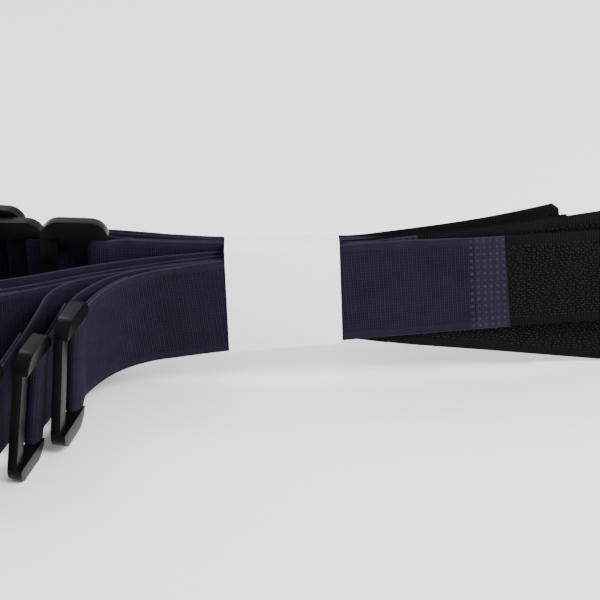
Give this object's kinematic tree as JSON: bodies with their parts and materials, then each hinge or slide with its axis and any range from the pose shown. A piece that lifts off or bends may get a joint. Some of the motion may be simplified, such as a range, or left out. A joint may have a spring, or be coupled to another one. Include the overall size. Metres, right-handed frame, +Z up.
{
  "type": "gait belt",
  "caption": "Paper-banded bundle of narrow dark elastic belts on edge, each folded through a black plastic ring at one end with a hook tape welded to the other, both ends fanned out.",
  "frame": {"origin": "bottom centre of the bounding box, on the surface the bundle stands on", "axes": "+X along the belts from the rings to the hook tapes, +Y from the front belt to the back belt, +Z up across the belts' width"},
  "size_m": [0.3794, 0.168, 0.0687],
  "materials": {
    "navy_webbing": "ribbed woven elastic, matt",
    "black_hook_tape": "woven tape with rows of small moulded hooks, matt",
    "black_plastic": "satin moulded plastic",
    "white_paper": "plain uncoated white paper"
  },
  "bodies": {
    "bundle": {"belt_1_webbing": "navy_webbing", "belt_1_hook_tape": "black_hook_tape", "belt_2_webbing": "navy_webbing", "belt_2_hook_tape": "black_hook_tape", "belt_3_webbing": "navy_webbing", "belt_3_hook_tape": "black_hook_tape", "belt_4_webbing": "navy_webbing", "belt_4_hook_tape": "black_hook_tape", "belt_5_webbing": "navy_webbing", "belt_5_hook_tape": "black_hook_tape", "belt_6_webbing": "navy_webbing", "belt_6_hook_tape": "black_hook_tape", "belt_7_webbing": "navy_webbing", "belt_7_hook_tape": "black_hook_tape", "belt_8_webbing": "navy_webbing", "belt_8_hook_tape": "black_hook_tape", "belt_9_webbing": "navy_webbing", "belt_9_hook_tape": "black_hook_tape", "belt_10_webbing": "navy_webbing", "belt_10_hook_tape": "black_hook_tape", "paper_band": "white_paper"},
    "ring_1": {"belt_1_ring": "black_plastic"},
    "ring_2": {"belt_2_ring": "black_plastic"},
    "ring_3": {"belt_3_ring": "black_plastic"},
    "ring_4": {"belt_4_ring": "black_plastic"},
    "ring_5": {"belt_5_ring": "black_plastic"},
    "ring_6": {"belt_6_ring": "black_plastic"},
    "ring_7": {"belt_7_ring": "black_plastic"},
    "ring_8": {"belt_8_ring": "black_plastic"},
    "ring_9": {"belt_9_ring": "black_plastic"},
    "ring_10": {"belt_10_ring": "black_plastic"}
  },
  "joints": [
    {"name": "ring_1_swing", "type": "hinge", "parent": "bundle", "child": "ring_1", "pos_m": [-0.08834, -0.01341, 0.02855], "axis": [0.1043, -0.0125, 0.9945], "range_deg": [-1.5, 22]},
    {"name": "ring_2_swing", "type": "hinge", "parent": "bundle", "child": "ring_2", "pos_m": [-0.10138, -0.0347, 0.02617], "axis": [0.142, -0.0415, 0.989], "range_deg": [-9, 22]},
    {"name": "ring_3_swing", "type": "hinge", "parent": "bundle", "child": "ring_3", "pos_m": [-0.11646, -0.06074, 0.02724], "axis": [0.1521, -0.0366, 0.9877], "range_deg": [-22, 22]},
    {"name": "ring_4_swing", "type": "hinge", "parent": "bundle", "child": "ring_4", "pos_m": [-0.14529, -0.00141, 0.02823], "axis": [0.0466, 0.0238, 0.9986], "range_deg": [-10, 22]},
    {"name": "ring_5_swing", "type": "hinge", "parent": "bundle", "child": "ring_5", "pos_m": [-0.15318, 0.00529, 0.02891], "axis": [0.0503, 0.0144, 0.9986], "range_deg": [-10, 8]},
    {"name": "ring_6_swing", "type": "hinge", "parent": "bundle", "child": "ring_6", "pos_m": [-0.16659, 0.01333, 0.02941], "axis": [0, 0, 1], "range_deg": [-20, 20]},
    {"name": "ring_7_swing", "type": "hinge", "parent": "bundle", "child": "ring_7", "pos_m": [-0.08048, 0.03112, 0.04119], "axis": [0.0627, -0.0035, 0.998], "range_deg": [-7, 20]},
    {"name": "ring_8_swing", "type": "hinge", "parent": "bundle", "child": "ring_8", "pos_m": [-0.10464, 0.04203, 0.03804], "axis": [-0.0172, 0.003, 0.9998], "range_deg": [-4, 22]},
    {"name": "ring_9_swing", "type": "hinge", "parent": "bundle", "child": "ring_9", "pos_m": [-0.11334, 0.05091, 0.03983], "axis": [0.0102, -0.0025, 0.9999], "range_deg": [-12, 10]},
    {"name": "ring_10_swing", "type": "hinge", "parent": "bundle", "child": "ring_10", "pos_m": [-0.16377, 0.07459, 0.02974], "axis": [-0.1488, 0.0483, 0.9877], "range_deg": [-22, 22]}
  ]
}
